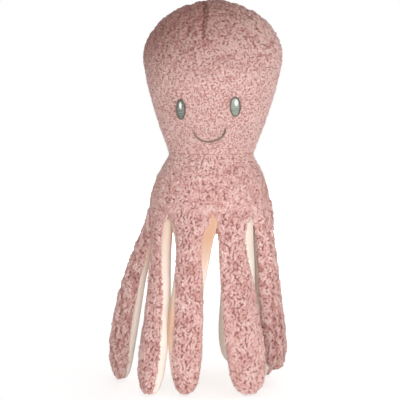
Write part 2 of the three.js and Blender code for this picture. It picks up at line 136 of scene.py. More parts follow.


# %% The eight arms
# The left_back and right_front arms carry painted shade towards their tips.
ARMS = {
    "front_left": Arm(
        0.063, -0.012, 0.5, (1.03, 0.96), (0, -8, 24, 4),
        rolls=((0, 2), (20, 2)), webs=((13, 0.52, 0.9), (5, 0.3, 0.5)), slacks=((0, 0), (4, 0.85)),
    ),
    "front_right": Arm(
        0.082, 0.072, 0.5, (0.94, 1.2), (0, 0, 8, -6),
        rolls=((45, 0.5), (0, 2)), webs=((6, 0.6, 0.1), (1, 0.2, 0.2)), bulges=(0, 4.5),
    ),
    "left_front": Arm(
        0.149, 0.143, 0.25, (0.85, 0.95), (0, 0, 20, 30),
        rolls=((28, 2), (0, 2)), webs=((4, 0.3, 0.4), (4, 0.3, 0.4)), bulges=(2, -2),
    ),
    "left_back": Arm(
        0.225, 0.101, 1, (1, 1.04), (0, 40, 58, 60),
        slacks=((5, 0), (0, 0)), dusk=0.12, relief=2.4,
    ),
    "right_front": Arm(
        0.055, 0.101, 0.6, (0.94, 0.94), (0, -4, -14, -16),
        rolls=((0, 2), (-18, 2)), webs=((1, 0.2, 0.2), (0.5, 0.2, 0.1)), dusk=0.34, relief=2,
    ),
    "right_back": Arm(0.072, 0.065, 0.6, (1, 1), (0, 0, 0, 0)),
    "back_left": Arm(
        0.067, 0.01, 0.5, (0.94, 0.94), (0, 8, 6, 0), webs=((6, 0.3, 0.9), (8, 0.3, 0.9)),
    ),
    "back_right": Arm(0.078, 0.011, 0.5, (1, 0.93), (0, -6, -8, 0), bulges=(-3, 0)),
}
print(len(ARMS), "arms, the widest girth share", max(arm.girths[1] for arm in ARMS.values()))

# %% [markdown]
# ## Surfaces as functions
#
# The skin of a stuffed toy could be sculpted, or filled up by a cloth simulation. Here each part of
# it is one function of two numbers: how far round, and how far along. It takes whole arrays and
# gives whole arrays of points, so the same function makes the cloth, places each curl of the pile
# and lays the stitches, and all of them follow when a size changes.

# %% Small helpers on arrays
UP = np.array([0, 0, 1.0])
WAVES = 14  # that make up one set of random hills


def unit(v):
    """Each vector divided by its own length."""
    return v / np.maximum(np.linalg.norm(v, axis=-1, keepdims=True), 1e-12)


def ease(x, low, high):
    """0 below low, 1 above high, and the smooth cubic 3t^2 - 2t^3 in between."""
    t = np.clip((np.asarray(x, float) - low) / (high - low), 0, 1)
    return t * t * (3 - 2 * t)


def bell(x, middle, width):
    """A bell of height 1: e to the minus of the squared distance from the middle in widths."""
    return np.exp(-(((x - middle) / width) ** 2))


def place(x, y, z):
    """Points from three arrays that broadcast together."""
    return np.stack(np.broadcast_arrays(x, y, z), -1)


def lumps(points, size, seed):
    """Soft random hills of about the given size: the mean of cosine waves in random directions,
    scaled so that most values lie between -1 and 1."""
    random = np.random.default_rng(seed)
    ways = unit(random.normal(size=(WAVES, 3)))
    ways = ways * random.uniform(0.7, 1.3, (WAVES, 1)) * math.pi / size
    shifts = random.uniform(0, math.tau, WAVES)
    return np.cos(points @ ways.T + shifts).sum(-1) * math.sqrt(2 / WAVES) / 1.6


# %% Profile of the head
def head_half(size, rise, inset=0.0):
    """Half the width or depth at a rise above the neck. Below the widest rise it draws in to the
    neck as a power of the drop, and above it a dome closes as a superellipse."""
    widest = size / 2 - inset
    up = np.clip((rise - HEAD_WIDEST_RISE) / (HEAD_HEIGHT - inset - HEAD_WIDEST_RISE), 0, 1)
    down = np.clip((HEAD_WIDEST_RISE - rise) / HEAD_WIDEST_RISE, 0, 1)
    dome = widest * (1 - up**DOME_POWER) ** (1 / DOME_POWER)
    cheek = widest + (NECK_RADIUS - inset - widest) * down**CHEEK_POWER
    return np.where(rise > HEAD_WIDEST_RISE, dome, cheek)


def head_rise(share, inset):
    """The rise at a share of the way up the profile: even steps up the cheeks, then the sine of
    even steps of angle over the dome, so that the steps stay even near the crown."""
    angle = np.clip((share - CHEEK_SHARE) / (1 - CHEEK_SHARE), 0, 1) * math.pi / 2
    top = HEAD_WIDEST_RISE + (HEAD_HEIGHT - inset - HEAD_WIDEST_RISE) * np.sin(angle)
    return np.where(share > CHEEK_SHARE, top, HEAD_WIDEST_RISE * share / CHEEK_SHARE)


# %% Seams and gathers of the head
DART_PLACE, DART_WAVER = -8 * MM, 0.8 * MM
DART_WIDTH, DART_DEPTH = 1.5 * MM, 3.2 * MM
GATHERS = ((-22 * MM, 3 * MM, 1), (16 * MM, 2.5 * MM, 1), (32 * MM, 4 * MM, 0.6))
GATHER_DEPTH = 1.5 * MM
SIDE_SEAM_WIDTH, SIDE_SEAM_DEPTH = 2.5 * MM, 1.2 * MM


def dart_line(x, rise):
    """1 on the short seam that takes in the crown, left of its middle, and 0 away from it. The seam
    wavers a little, as a wave of its rise, and it fades down the forehead."""
    line = DART_PLACE + DART_WAVER * np.sin(rise / (5 * MM))
    return bell(x, line, DART_WIDTH) * ease(rise, 94 * MM, 116 * MM)


def gathers(x, rise):
    """1 in the three shallow hollows beside the crown's seam, fading down the forehead."""
    hollows = sum(depth * bell(x, middle, width) for middle, width, depth in GATHERS)
    return hollows * ease(rise, 92 * MM, 125 * MM)


# %% The head
def head_skin(turn, share, inset=PILE_DEPTH):
    """An ellipse at each rise, turned through the given angle, that leans a little to the right.
    The crown's seam and hollows, and the side seams, draw it in."""
    rise = head_rise(share, inset)
    across, deep = head_half(HEAD_WIDTH, rise, inset), head_half(HEAD_DEPTH, rise, inset)
    x, y = across * np.cos(turn), deep * np.sin(turn)
    front = np.sin(turn) < 0
    fold = np.where(front, DART_DEPTH * dart_line(x, rise), 0) + GATHER_DEPTH * gathers(x, rise)
    side_seam = bell(y, 0, SIDE_SEAM_WIDTH) * (1 - ease(rise, 130 * MM, 148 * MM))
    fold = fold + SIDE_SEAM_DEPTH * side_seam
    shrink = 1 - fold / np.maximum(np.hypot(x, y), 12 * MM)
    lean = HEAD_LEAN * rise / HEAD_HEIGHT
    height = rise - 0.6 * fold * ease(rise, 110 * MM, 150 * MM)
    return NECK + place(x * shrink + lean, y * shrink, height)


# %% The body
def body_half(size, drop, inset):
    """Half the width or depth at a drop below the neck, flaring as a quarter of a sine wave from
    the neck's fold on."""
    way = (drop - NECK_FOLD_DROP) / (BODY_HEIGHT - NECK_FOLD_DROP)
    flare = np.sin(math.pi / 2 * np.clip(way, 0, 1))
    return NECK_RADIUS + (size / 2 - NECK_RADIUS) * flare - inset


def body_skin(turn, share, inset=PILE_DEPTH):
    """An ellipse at each drop from the neck down to the hem. Past a share of 1 it turns under on a
    quarter circle."""
    under = np.clip((share - 1) / HEM_TUCK_SHARE, 0, 1) * math.pi / 2
    tuck = HEM_TUCK * (1 - np.cos(under))
    drop = BODY_HEIGHT * np.minimum(share, 1)
    x = body_half(BODY_WIDTH, drop, inset + tuck) * np.cos(turn) + BODY_LEAN * drop / BODY_HEIGHT
    y = body_half(BODY_DEPTH, drop, inset + tuck) * np.sin(turn)
    return NECK + place(x, y, -drop - HEM_TUCK * np.sin(under))


# %% Where the arms hang
def arm_frame(name):
    """The hinge of an arm, the level way outwards from the hem, and the level way along the hem."""
    joint = JOINTS[name + "_arm_lift"]
    axis = np.array(joint["axis"])
    return np.array(joint["pos_m"]), np.cross(axis, -UP), -axis


# The end of each arm's middle line below its hinge, read from the lowest corner of its CAD cover.
TIP_DEPTHS = {n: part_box(n + "_arm_top")[0][2] - JOINTS[n + "_arm_lift"]["pos_m"][2] for n in ARMS}


# %% The middle line of an arm
def arm_middle(name, s):
    """A quadratic curve from root to tip, (1-s)^2 root + 2s(1-s) pull + s^2 tip, and its slope."""
    arm = ARMS[name]
    root = np.array([-ARM_ROOT_THICKNESS / 2, 0, 0])
    tip = root + np.array([arm.reach * HEM_HEIGHT, arm.sway * HEM_HEIGHT, TIP_DEPTHS[name]])
    pull = root + (tip - root) * np.array([arm.early, arm.early, 0.5])
    s = np.asarray(s, float)[..., None]
    point = (1 - s) ** 2 * root + 2 * s * (1 - s) * pull + s**2 * tip
    return point, unit(2 * (1 - s) * (pull - root) + 2 * s * (tip - pull))


def arm_twist(name, s):
    """The turn of an arm's face about its length, eased from each given twist to the next."""
    twists = np.radians(ARMS[name].twists)
    total = np.zeros_like(s) + twists[0]
    for i in range(len(twists) - 1):
        total = total + (twists[i + 1] - twists[i]) * ease(s, *TWIST_PLACE_SHARES[i : i + 2])
    return total


# %% The skin of an arm
def arm_skin(name, turn, s, inset=PILE_DEPTH, spread=0.0):
    """A flattened ellipse carried along the middle line. turn 0 is the middle of the rose side, and
    the fullness closes it as a superellipse towards the tip. spread widens it."""
    turn, s = np.broadcast_arrays(np.asarray(turn, float), np.asarray(s, float))
    hinge, outwards, sideways = arm_frame(name)
    point, _ = arm_middle(name, s * (1 - inset / HEM_HEIGHT))
    set_in = ease(s, 0, ARM_SET_SHARE)[..., None]
    down = unit(arm_middle(name, s)[1] * set_in - UP * (1 - set_in))
    twist = arm_twist(name, s)
    level = place(np.cos(twist), np.sin(twist), 0.0)
    facing = unit(level - down * (level * down).sum(-1, keepdims=True))
    across = np.cross(down, facing)
    swell = np.clip(s / ARM_WIDEST_SHARE, 0, 1) ** ARM_SWELL_POWER
    past = np.clip((s - ARM_WIDEST_SHARE) / (1 - ARM_WIDEST_SHARE), 0, 1)
    full = (1 - past**ARM_TIP_POWER) ** (1 / ARM_TIP_POWER)
    root_girth, widest_girth = ARMS[name].girths
    root = root_girth * (ARM_ROOT_WIDTH + ARM_ROOT_FLARE * (1 - ease(s, 0, ARM_FLARE_SHARE)))
    width = root + (widest_girth * ARM_WIDTH - root) * swell
    thick = ARM_ROOT_THICKNESS + (ARM_THICKNESS - ARM_ROOT_THICKNESS) * swell
    half_width = np.maximum(width * full / 2 - inset + spread, 0)
    half_thick = np.maximum(thick * full / 2 - inset, 0)
    local = (
        point
        + facing * (half_thick * np.cos(turn))[..., None]
        + across * (half_width * np.sin(turn))[..., None]
    )
    return hinge + local[..., :1] * outwards + local[..., 1:2] * sideways + local[..., 2:] * UP


TIPS = {n: np.round(arm_skin(n, 0.0, 1.0, 0) / MM).tolist() for n in ARMS}
print("tips of the arms in mm:", TIPS)

# %% [markdown]
# ## From arrays to meshes
#
# Faces could be added one by one, but Blender also takes a whole array at once with foreach_set,
# which is far quicker for many thousands of curls. A piece is gathered from patches. A patch has
# points, faces, a place of its own on the texture for every corner, and three values that the
# materials read: pile, which is 0 down at the cloth and 1 at the top of a curl, and towards 0 the
# plush is painted darker as shade between the curls; tone, which is a little different
# for each curl at random and also carries painted shade and painted light; and dusk, which
# is 1 where the painted shade on the plush is darkest.

# %% Patches
Patch = namedtuple("Patch", "points corners counts uv pile tone dusk")


def sheet(points, uv_box, pile=0.0, tone=0.0, dusk=0.0):
    """A grid of points as faces: corner (i, j) joins (i, j+1), (i+1, j+1) and (i+1, j)."""
    rows, cols = points.shape[:2]
    index = np.arange(rows * cols).reshape(rows, cols)
    quads = np.stack([index[:-1, :-1], index[:-1, 1:], index[1:, 1:], index[1:, :-1]], -1)
    quads = quads.reshape(-1, 4)
    low_u, low_v, high_u, high_v = uv_box
    u = np.linspace(low_u, high_u, cols)[None, :] + np.zeros((rows, 1))
    v = np.linspace(low_v, high_v, rows)[:, None] + np.zeros((1, cols))
    uv = np.stack([u, v], -1).reshape(-1, 2)[quads.ravel()]
    values = (np.broadcast_to(value, (rows, cols)) for value in (pile, tone, dusk))
    own = [value.astype(float).ravel() for value in values]
    return Patch(points.reshape(-1, 3), quads.ravel(), np.full(len(quads), 4), uv, *own)


# %% Tubes
def cell_table(n, rings, sides, uv_box):
    """Corners, face sizes and texture places of n closed tubes. Each tube has its own cell of a
    table in the given box of the texture, and its two ends lie in thin strips of that cell."""
    one = np.arange(rings * sides).reshape(rings, sides)
    nxt = np.roll(one, -1, 1)
    quads = np.stack([one[:-1], one[1:], nxt[1:], nxt[:-1]], -1).reshape(-1, 4)
    ends = np.stack([one[0], one[-1][::-1]])
    i, j = np.meshgrid(np.arange(rings - 1), np.arange(sides), indexing="ij")
    wrap_u = 0.05 + 0.9 * np.stack([j, j, j + 1, j + 1], -1).reshape(-1) / sides
    wrap_v = 0.15 + 0.7 * np.stack([i, i + 1, i + 1, i], -1).reshape(-1) / (rings - 1)
    turn = np.arange(sides) * math.tau / sides
    end_u = np.tile(0.5 + 0.4 * np.cos(turn), 2)
    end_v = np.concatenate([0.07 + 0.05 * np.sin(turn), 0.93 + 0.05 * np.sin(turn)])
    tube = np.concatenate([quads.ravel(), ends.ravel()])
    corners = (np.arange(n)[:, None] * rings * sides + tube).ravel()
    counts = np.tile(np.concatenate([np.full(len(quads), 4), [sides, sides]]), n)
    low_u, low_v, high_u, high_v = uv_box
    columns = max(1, math.ceil(math.sqrt(n * (high_u - low_u) / (high_v - low_v))))
    lines = math.ceil(n / columns)
    cell = np.arange(n)[:, None]
    u = low_u + (high_u - low_u) * (cell % columns + np.concatenate([wrap_u, end_u])) / columns
    v = low_v + (high_v - low_v) * (cell // columns + np.concatenate([wrap_v, end_v])) / lines
    return corners, counts, np.stack([u, v], -1).reshape(-1, 2)


def tubes(path, fat, up, sides, uv_box, height=None, top=1.0, tone=0.0, dusk=0.0):
    """Closed tubes along many paths at once. Round each point of a path lies a ring: fat times the
    cosine to the side and fat times the sine upwards. pile is the height over the top height."""
    n, rings = path.shape[:2]
    ahead = unit(np.gradient(path, axis=1))
    side = unit(np.cross(ahead, np.broadcast_to(up, path.shape)))
    lift = np.cross(side, ahead)
    turn = np.arange(sides) * math.tau / sides
    fat = np.broadcast_to(fat, (n, rings))[:, :, None]
    across, rise = fat * np.cos(turn), fat * np.sin(turn)
    ring = across[..., None] * side[:, :, None] + rise[..., None] * lift[:, :, None]
    points = (path[:, :, None] + ring).reshape(-1, 3)
    none = np.zeros((n, rings, sides))
    pile = none + 1 if height is None else np.clip((height[..., None] + rise) / top, 0, 1)
    tone, dusk = ((none + np.reshape(value, (-1, 1, 1))).ravel() for value in (tone, dusk))
    return Patch(points, *cell_table(n, rings, sides, uv_box), pile.ravel(), tone, dusk)


# %% Pieces
def linked(name, data):
    """A new object of the scene with the given data."""
    made = bpy.data.objects.new(name, data)
    bpy.context.scene.collection.objects.link(made)
    return made


def piece(name, patches, materials, slots=None):
    """One mesh object, smooth shaded, from patches. slots gives the material of each patch."""

    def joined(value, kind=np.float32):
        return np.concatenate([getattr(patch, value) for patch in patches]).astype(kind).ravel()

    counts = joined("counts", np.int32)
    starts = np.cumsum([0] + [len(patch.points) for patch in patches[:-1]])
    corners = np.concatenate([patch.corners + start for patch, start in zip(patches, starts)])
    mesh = bpy.data.meshes.new(name)
    mesh.vertices.add(sum(len(patch.points) for patch in patches))
    mesh.vertices.foreach_set("co", joined("points"))
    mesh.loops.add(len(corners))
    mesh.loops.foreach_set("vertex_index", corners.astype(np.int32))
    mesh.polygons.add(len(counts))
    first = np.concatenate([[0], np.cumsum(counts)[:-1]])
    mesh.polygons.foreach_set("loop_start", first.astype(np.int32))
    mesh.polygons.foreach_set("use_smooth", np.ones(len(counts), bool))
    if slots is not None:
        which = np.repeat(slots, [len(patch.counts) for patch in patches])
        mesh.polygons.foreach_set("material_index", which.astype(np.int32))
    mesh.update(calc_edges=True)
    mesh.uv_layers.new(name="OFBake").data.foreach_set("uv", joined("uv"))
    for value in ("pile", "tone", "dusk"):
        mesh.attributes.new(value, "FLOAT", "POINT").data.foreach_set("value", joined(value))
    for material in materials:
        mesh.materials.append(material)
    made = linked(name, mesh)
    print(f"{name}: {int((counts - 2).sum())} triangles")
    return made


# %% [markdown]
# ## Curly pile
#
# Curly plush is a knit whose pile is crimped into short fat worms. At this size each worm is seen,
# with a dark gap beside it. Bumps in a material would leave the outline smooth, and Blender's hair
# is no mesh, so the worms are real geometry. Each is a bent tube of a few faces. Its middle line is
# an arc in the plane of the cloth that dips into the cloth at both ends.

# %% Kinds of pile
@dataclass
class Pile:
    """One kind of curly pile, in metres: how long and thick a curl is, how far its back stands off
    the cloth, how far apart curls are round and along the piece, and their wander in radians."""

    length: float
    thickness: float
    stand: float
    apart: tuple
    wander: float


HEAD_PILE = Pile(3.9 * MM, 2.3 * MM, 0.8 * MM, (1.85 * MM, 2.05 * MM), 1.3)
BODY_PILE = Pile(5.0 * MM, 3.2 * MM, 0.8 * MM, (2.0 * MM, 2.3 * MM), 1.0)
ARM_PILE = Pile(5.6 * MM, 3.3 * MM, 0.8 * MM, (2.0 * MM, 2.45 * MM), 0.6)
CURL_RINGS, CURL_SIDES = 4, 5
CLOTH_PILE = 0.12  # the cloth between the curls, where 1 is the top of a curl; lower is darker, as painted shade
HILL_SIZE = 9 * MM  # of the soft unevenness of the pile
CLUMP_SHARE = 0.55  # the size of a clump of curls, in lengths of a curl
CLUMP_HEIGHT, TALLEST_CURL = 0.35 * MM, 2.2 * MM
TALL_SHARE = 0.02  # of the curls, which stand twice as high
FIBRE_LENGTHS, FIBRE_RADIUS = (1.2 * MM, 3.2 * MM), 0.13 * MM

# Parts of the texture, as low u, low v, high u and high v.
SKIN_PART, PILE_PART, FIBRE_PART = (0.01, 0.01, 0.3, 0.99), (0.31, 0, 0.8, 1), (0.81, 0, 1, 1)
WHOLE_TEXTURE, WHOLE_SHEET = (0, 0, 1, 1), (0.01, 0.01, 0.99, 0.99)
print("faces of one curl:", (CURL_RINGS - 1) * CURL_SIDES + 2)


# %% Where the curls go
def frames_on(skin, u, v, outwards):
    """The point of a skin at (u, v), with the ways along it, round it and out of it, from the
    differences between points a small step apart."""
    step = 1e-3
    along = unit(skin(u, v + step) - skin(u, v - step))
    normal = unit(np.cross(skin(u + step, v) - skin(u - step, v), along)) * outwards
    return skin(u, v), along, np.cross(normal, along), normal


def scatter(skin, u_range, v_range, apart, seed):
    """Places for the curls: rows an even way apart along the skin, and in each row as many as fit
    round it, every one moved a little at random."""
    random = np.random.default_rng(seed)
    low, high = u_range
    fine = np.linspace(*v_range, 200)
    spine = skin(np.full(200, (low + high) / 2), fine)
    travelled = np.concatenate([[0], np.cumsum(np.linalg.norm(np.diff(spine, axis=0), axis=1))])
    rows = max(2, int(travelled[-1] / apart[1]))
    v_rows = np.interp((np.arange(rows) + 0.5) / rows * travelled[-1], travelled, fine)
    ring = skin(np.linspace(low, high, 60)[None, :], v_rows[:, None])
    around = np.linalg.norm(np.diff(ring, axis=1), axis=2).sum(1)
    counts = np.maximum(1, (around / apart[0]).astype(int))
    row = np.repeat(np.arange(rows), counts)
    first = np.repeat(np.cumsum(counts) - counts, counts)
    share = (np.arange(len(row)) - first + 0.25 + 0.5 * (row % 2)) / counts[row]
    share = share + random.uniform(-0.45, 0.45, len(row)) / counts[row]
    v = v_rows[row] + random.uniform(-0.45, 0.45, len(row)) * np.gradient(v_rows)[row]
    return low + (high - low) * np.clip(share, 0.002, 0.998), np.clip(v, *v_range)


# %% Curls
def curls(
    skin, u, v, pile, seed, size=1.0, pressed_and_shaded=0.0, lighter=0.0, dusk=0.0, relief=1.0, outwards=1.0
):
    """Bent worms on a skin. With t from -1 to 1 along a worm, its heading is h + b t for an arc or
    h + b (1.5 t^2 - 0.5) for a hook. Its height is the stand times (1 - 0.75 t^2) and its thickness
    narrows as 1 - 0.6 t^4. pressed_and_shaded, from 0 to 1, flattens it and darkens it, and the
    darkening is painted shade in the crown's seam and hollows. lighter lightens it, which on the
    face and the neck is painted light. relief is how much the curls gather in clumps, and the tone
    of a curl rises with its clumps and hills, so the dips get painted shade."""
    random = np.random.default_rng(seed)
    n = len(u)

    def column(values):
        return np.broadcast_to(values, n)[:, None]

    point, along, around, normal = frames_on(skin, u, v, outwards)
    hills = lumps(point, HILL_SIZE, seed + 1)
    clumps = lumps(point * np.array([1, 1, 0.6]), CLUMP_SHARE * pile.length, seed + 2)
    t = np.linspace(-1, 1, CURL_RINGS)[None, :]
    bend = column(random.uniform(0.4, 1.5, n) * random.choice([-1, 1], n))
    hook = column(random.random(n) < 0.4)
    angle = column(random.normal(0, pile.wander, n)) + bend * np.where(hook, 1.5 * t * t - 0.5, t)
    step = column(pile.length * size * random.uniform(0.7, 1.3, n)) / (CURL_RINGS - 1)
    x, y = (np.cumsum(way * step, 1) for way in (np.cos(angle), np.sin(angle)))
    x, y = x - x.mean(1, keepdims=True), y - y.mean(1, keepdims=True)
    stand = pile.stand * size * random.uniform(0.6, 1.3, n)
    stand = stand * (1 + 0.3 * hills) * (1 - 0.7 * pressed_and_shaded)
    clumps = np.clip(clumps, -1, 1) * relief
    stand = stand * np.where(random.random(n) < TALL_SHARE, 2, 1)
    stand = np.minimum(stand + CLUMP_HEIGHT * clumps, TALLEST_CURL)
    high = column(stand) * (1 - 0.75 * t * t) + column(random.normal(0, 0.2, n)) * x
    fat = column(pile.thickness / 2 * size * random.uniform(0.8, 1.15, n)) * (1 - 0.6 * t**4)
    path = point[:, None] + x[..., None] * along[:, None] + y[..., None] * around[:, None]
    path = path + high[..., None] * normal[:, None]
    top = column((pile.stand + pile.thickness / 2) * 1.1 * size)[..., None]
    # The random part is each curl's own tone. Higher hills and clumps make it lighter and the dips
    # darker, pressing darkens the seam and hollows, and the lightening lifts it: painted shade and
    # painted light.
    tone = random.normal(0, 0.45, n) + 0.4 * hills + 1.2 * clumps - 5 * pressed_and_shaded + 3 * lighter
    dusk = np.broadcast_to(dusk, n)
    return tubes(path, fat, normal[:, None], CURL_SIDES, PILE_PART, high, top, tone, dusk)


# %% Loose fibres
def fibres(skin, u_range, v_range, pile, apart, seed, dusk=None, outwards=1.0):
    """Loose ends of fibre that stand off the curls and soften the outline: thin arcs that start
    among the curls and leave the cloth at a random slant. dusk is a function of their places
    that gives the painted shade on them."""
    random = np.random.default_rng(seed)
    u, v = scatter(skin, u_range, v_range, (apart, apart), seed)
    n = len(u)
    point, along, around, normal = frames_on(skin, u, v, outwards)
    heading = random.uniform(0, math.tau, n)[:, None]
    level = along * np.cos(heading) + around * np.sin(heading)
    length = random.uniform(*FIBRE_LENGTHS, n)[:, None, None]
    slant = random.uniform(0.2, 1.1, n)[:, None, None]
    t = np.linspace(0, 1, 3)[None, :, None]
    path = point[:, None] + normal[:, None] * (pile.stand + pile.thickness * 0.3)
    rising = np.sin(slant) * normal[:, None] * (1 - 0.4 * t)
    path = path + length * t * (np.cos(slant) * level[:, None] + rising)
    fat = FIBRE_RADIUS * (1.1 - t[..., 0]) + np.zeros((n, 1))
    dark = 0.0 if dusk is None else dusk(point)
    tone = random.normal(1.5, 1, n)
    return tubes(path, fat, normal[:, None], 3, FIBRE_PART, tone=tone, dusk=dark)


# %% [markdown]
# ## Materials
#
# The toy has three finishes: matt plush, brushed jersey and shiny thread. Pictures of cloth could
# be laid on the pieces, but a colour that is worked out can follow every curl. Each finish is a
# function. Shader maths is written as plain expressions on a small class that wraps a socket, so a
# colour can be worked out the way it would be on paper.

# %% Shader maths as expressions
class Value:
    """A socket of a node tree, on which arithmetic adds Math nodes."""

    def __init__(self, tree, socket):
        self.tree, self.socket = tree, socket

    def maths(self, operation, a, b):
        return self.tree.add("ShaderNodeMath", {"operation": operation}, [a, b])

    def __add__(self, other):
        return self.maths("ADD", self, other)

    def __sub__(self, other):
        return self.maths("SUBTRACT", self, other)

    def __mul__(self, other):
        return self.maths("MULTIPLY", self, other)

    __radd__, __rmul__ = __add__, __mul__

    def __rsub__(self, other):
        return self.maths("SUBTRACT", other, self)

    def clamp(self):
        return self.tree.add("ShaderNodeClamp", {}, {"Value": self})


# %% A tree of nodes
class Tree:
    """A node tree of a material or of the world, with one method that adds any node."""

    def __init__(self, owner):
        owner.use_nodes = True
        self.nodes, self.links = owner.node_tree.nodes, owner.node_tree.links

    def feed(self, socket, value):
        if isinstance(value, Value):
            self.links.new(value.socket, socket)
        else:
            socket.default_value = value

    def add(self, kind, settings, inputs, output=0):
        """A node of a kind with its settings, its inputs by order or by name, and one output."""
        node = self.nodes.new(kind)
        for name, value in settings.items():
            setattr(node, name, value)
        for key, value in inputs.items() if isinstance(inputs, dict) else enumerate(inputs):
            self.feed(node.inputs[key], value)
        return Value(self, node.outputs[output])

    def mix(self, share, first, second):
        """The first colour where share is 0 and the second where it is 1."""
        return self.add("ShaderNodeMix", {"data_type": "RGBA"}, {0: share, 6: first, 7: second}, 2)

    def seen(self):
        """1 where the camera, a mirror or a glass looks, and 0 where light only bounces."""
        rays = ("Is Camera Ray", "Is Glossy Ray", "Is Transmission Ray")
        camera, mirror, glass = (self.add("ShaderNodeLightPath", {}, {}, ray) for ray in rays)
        return (camera + mirror + glass).clamp()


# %% A finish
class Finish(Tree):
    """A material with a Principled shader."""

    def __init__(self, name, **sockets):
        self.material = bpy.data.materials.new(name)
        super().__init__(self.material)
        self.shader = self.nodes["Principled BSDF"]
        self.set(**sockets)

    def set(self, **sockets):
        """Values or links on the shader's own sockets, named with underscores for spaces."""
        for name, value in sockets.items():
            self.feed(self.shader.inputs[name.replace("_", " ")], value)

    def own(self, name):
        """A value that the mesh carries at its points."""
        return self.add("ShaderNodeAttribute", {"attribute_name": name}, {}, "Fac")

    def noise(self, scale, detail=2.0):
        where = self.add("ShaderNodeTexCoord", {}, {}, "Object")
        inputs = {"Vector": where, "Scale": scale, "Detail": detail}
        return self.add("ShaderNodeTexNoise", {}, inputs)

    def bumps(self, height, strength, distance):
        inputs = {"Strength": strength, "Distance": distance, "Height": height}
        return self.add("ShaderNodeBump", {}, inputs)


# %% Colours
def colour(*screen):
    """Red, green and blue of a screen, 0 to 255, as the linear light that Blender counts in."""
    linear = [((c / 255 + 0.055) / 1.055) ** 2.4 if c > 10 else c / 255 / 12.92 for c in screen]
    return (*linear, 1.0)


MULTIPLY = {"data_type": "RGBA", "blend_type": "MULTIPLY"}
PAINTED_SHADE_TINT = (0.46, 0.34, 0.315, 1.0)  # the colour that is left where the painted shade is full
# The rose darkens from the top of a curl down to the cloth; the deepest of these colours is painted
# shade between the curls.
CREVICE_SHADE_ROSE, ROSE, PALE_ROSE = colour(176, 117, 110), colour(214, 165, 158), colour(238, 204, 197)
# The warm colour of the jersey where it lies in shade between the arms: painted shade.
PAINTED_SHADE_TAN = colour(222, 172, 138)
print("rose in linear light:", np.round(ROSE, 3))


# %% Rose plush
def rose_plush():
    """Pale rose at the top of each curl, darkening to a deep rose down between the curls as painted
    shade, mottled a little over a hand's width, with fine fibres as bumps and a soft sheen at the
    edges. Where painted shade lies on the plush, the colour is multiplied down towards a dusky
    rose."""
    finish = Finish("rose_plush", Roughness=0.9, Sheen_Weight=0.2, Sheen_Roughness=0.4)
    finish.set(Sheen_Tint=colour(255, 240, 236))
    mottle = finish.noise(22, 3) - 0.5
    # Darker down from the top of a curl to the cloth: painted shade between the curls. The tone
    # shifts it, partly at random and partly as painted shade and painted light.
    depth = (finish.own("pile") + mottle * 0.25 + finish.own("tone") * 0.055).clamp()
    shade = finish.mix((depth * 2).clamp(), CREVICE_SHADE_ROSE, ROSE)
    shade = finish.mix((depth * 2 - 1).clamp(), shade, PALE_ROSE)
    # The colour is multiplied down where painted shade lies on the plush.
    with_painted_shade = finish.add("ShaderNodeMix", MULTIPLY, {0: finish.own("dusk"), 6: shade, 7: PAINTED_SHADE_TINT}, 2)
    finish.set(Base_Color=with_painted_shade, Normal=finish.bumps(finish.noise(1500), 0.4, 0.0006))
    return finish.material


# %% Cream jersey
def cream_jersey():
    """Cream, and tan as warm painted shade where the cloth lies in shade: towards the roots of the
    arms, where they hang out, and on the base. A short brushed pile shows as bumps."""
    finish = Finish("cream_jersey", Roughness=0.85, Sheen_Weight=0.2, Sheen_Roughness=0.5)
    lighter = finish.mix(finish.noise(45), colour(249, 239, 228), colour(243, 226, 212))
    shade = finish.mix(finish.own("tone"), lighter, PAINTED_SHADE_TAN)
    brushed = finish.noise(1300, 3) + finish.noise(320)
    finish.set(Base_Color=shade, Normal=finish.bumps(brushed, 0.3, 0.0005))
    return finish.material


# %% Threads
def thread(name, dark, light):
    """Shiny rayon thread: fine plies as bumps and a mottle of two close colours."""
    finish = Finish(name, Roughness=0.4, Specular_IOR_Level=0.5)
    ply = finish.noise(900)
    shade = finish.mix((ply + finish.own("tone") * 0.2).clamp(), dark, light)
    finish.set(Base_Color=shade, Normal=finish.bumps(finish.noise(3000), 0.25, 0.0002))
    return finish.material


# %% All the finishes of the toy
PLUSH = rose_plush()
JERSEY = cream_jersey()
GREY_THREAD = thread("grey_thread", colour(118, 122, 114), colour(182, 186, 175))
DARK_GREY_THREAD = thread("dark_grey_thread", colour(70, 68, 62), colour(112, 108, 98))
WHITE_THREAD = thread("white_thread", colour(240, 240, 236), colour(255, 255, 252))
BROWN_THREAD = thread("brown_thread", colour(108, 88, 78), colour(154, 131, 119))
ROSE_THREAD = thread("rose_thread", colour(180, 124, 118), colour(214, 160, 152))
print("materials, with the CAD's own:", len(bpy.data.materials))

# %% [markdown]
# ## The head
#
# Two halves of plush meet at the sides and over the crown. They could be one closed ball, but two
# sheets are what the pattern has, and their edges meet in the seams. On this toy the head's pile is
# finer and lies flatter than the body's. The curls leave the eyes and the smile free, because
# embroidery presses the pile down.

# %% Places on the face
FACE_SHIFT, FACE_ROLL = -4.2 * MM, math.radians(3)  # as the head looks a little to the left
EYE_RISE, EYE_SPACING, EYE_WIDTH, EYE_HEIGHT = 44.5 * MM, 52 * MM, 10.5 * MM, 19 * MM
GLINT_WIDTH, GLINT_HEIGHT, GLINT_ABOVE_EYE_MIDDLE = 3 * MM, 7.2 * MM, 3.6 * MM
SMILE_RISE, SMILE_WIDTH, SMILE_DROP = 23.7 * MM, 30 * MM, 11.7 * MM
SMILE_SHIFT = 0.7 * MM  # of its middle to the right of the face's
SMILE_CLEARANCE = 0.6 * MM  # from its middle line to the nearest curls
print("eyes", round(EYE_SPACING / MM), "mm apart, at a rise of", round(EYE_RISE / MM, 1), "mm")


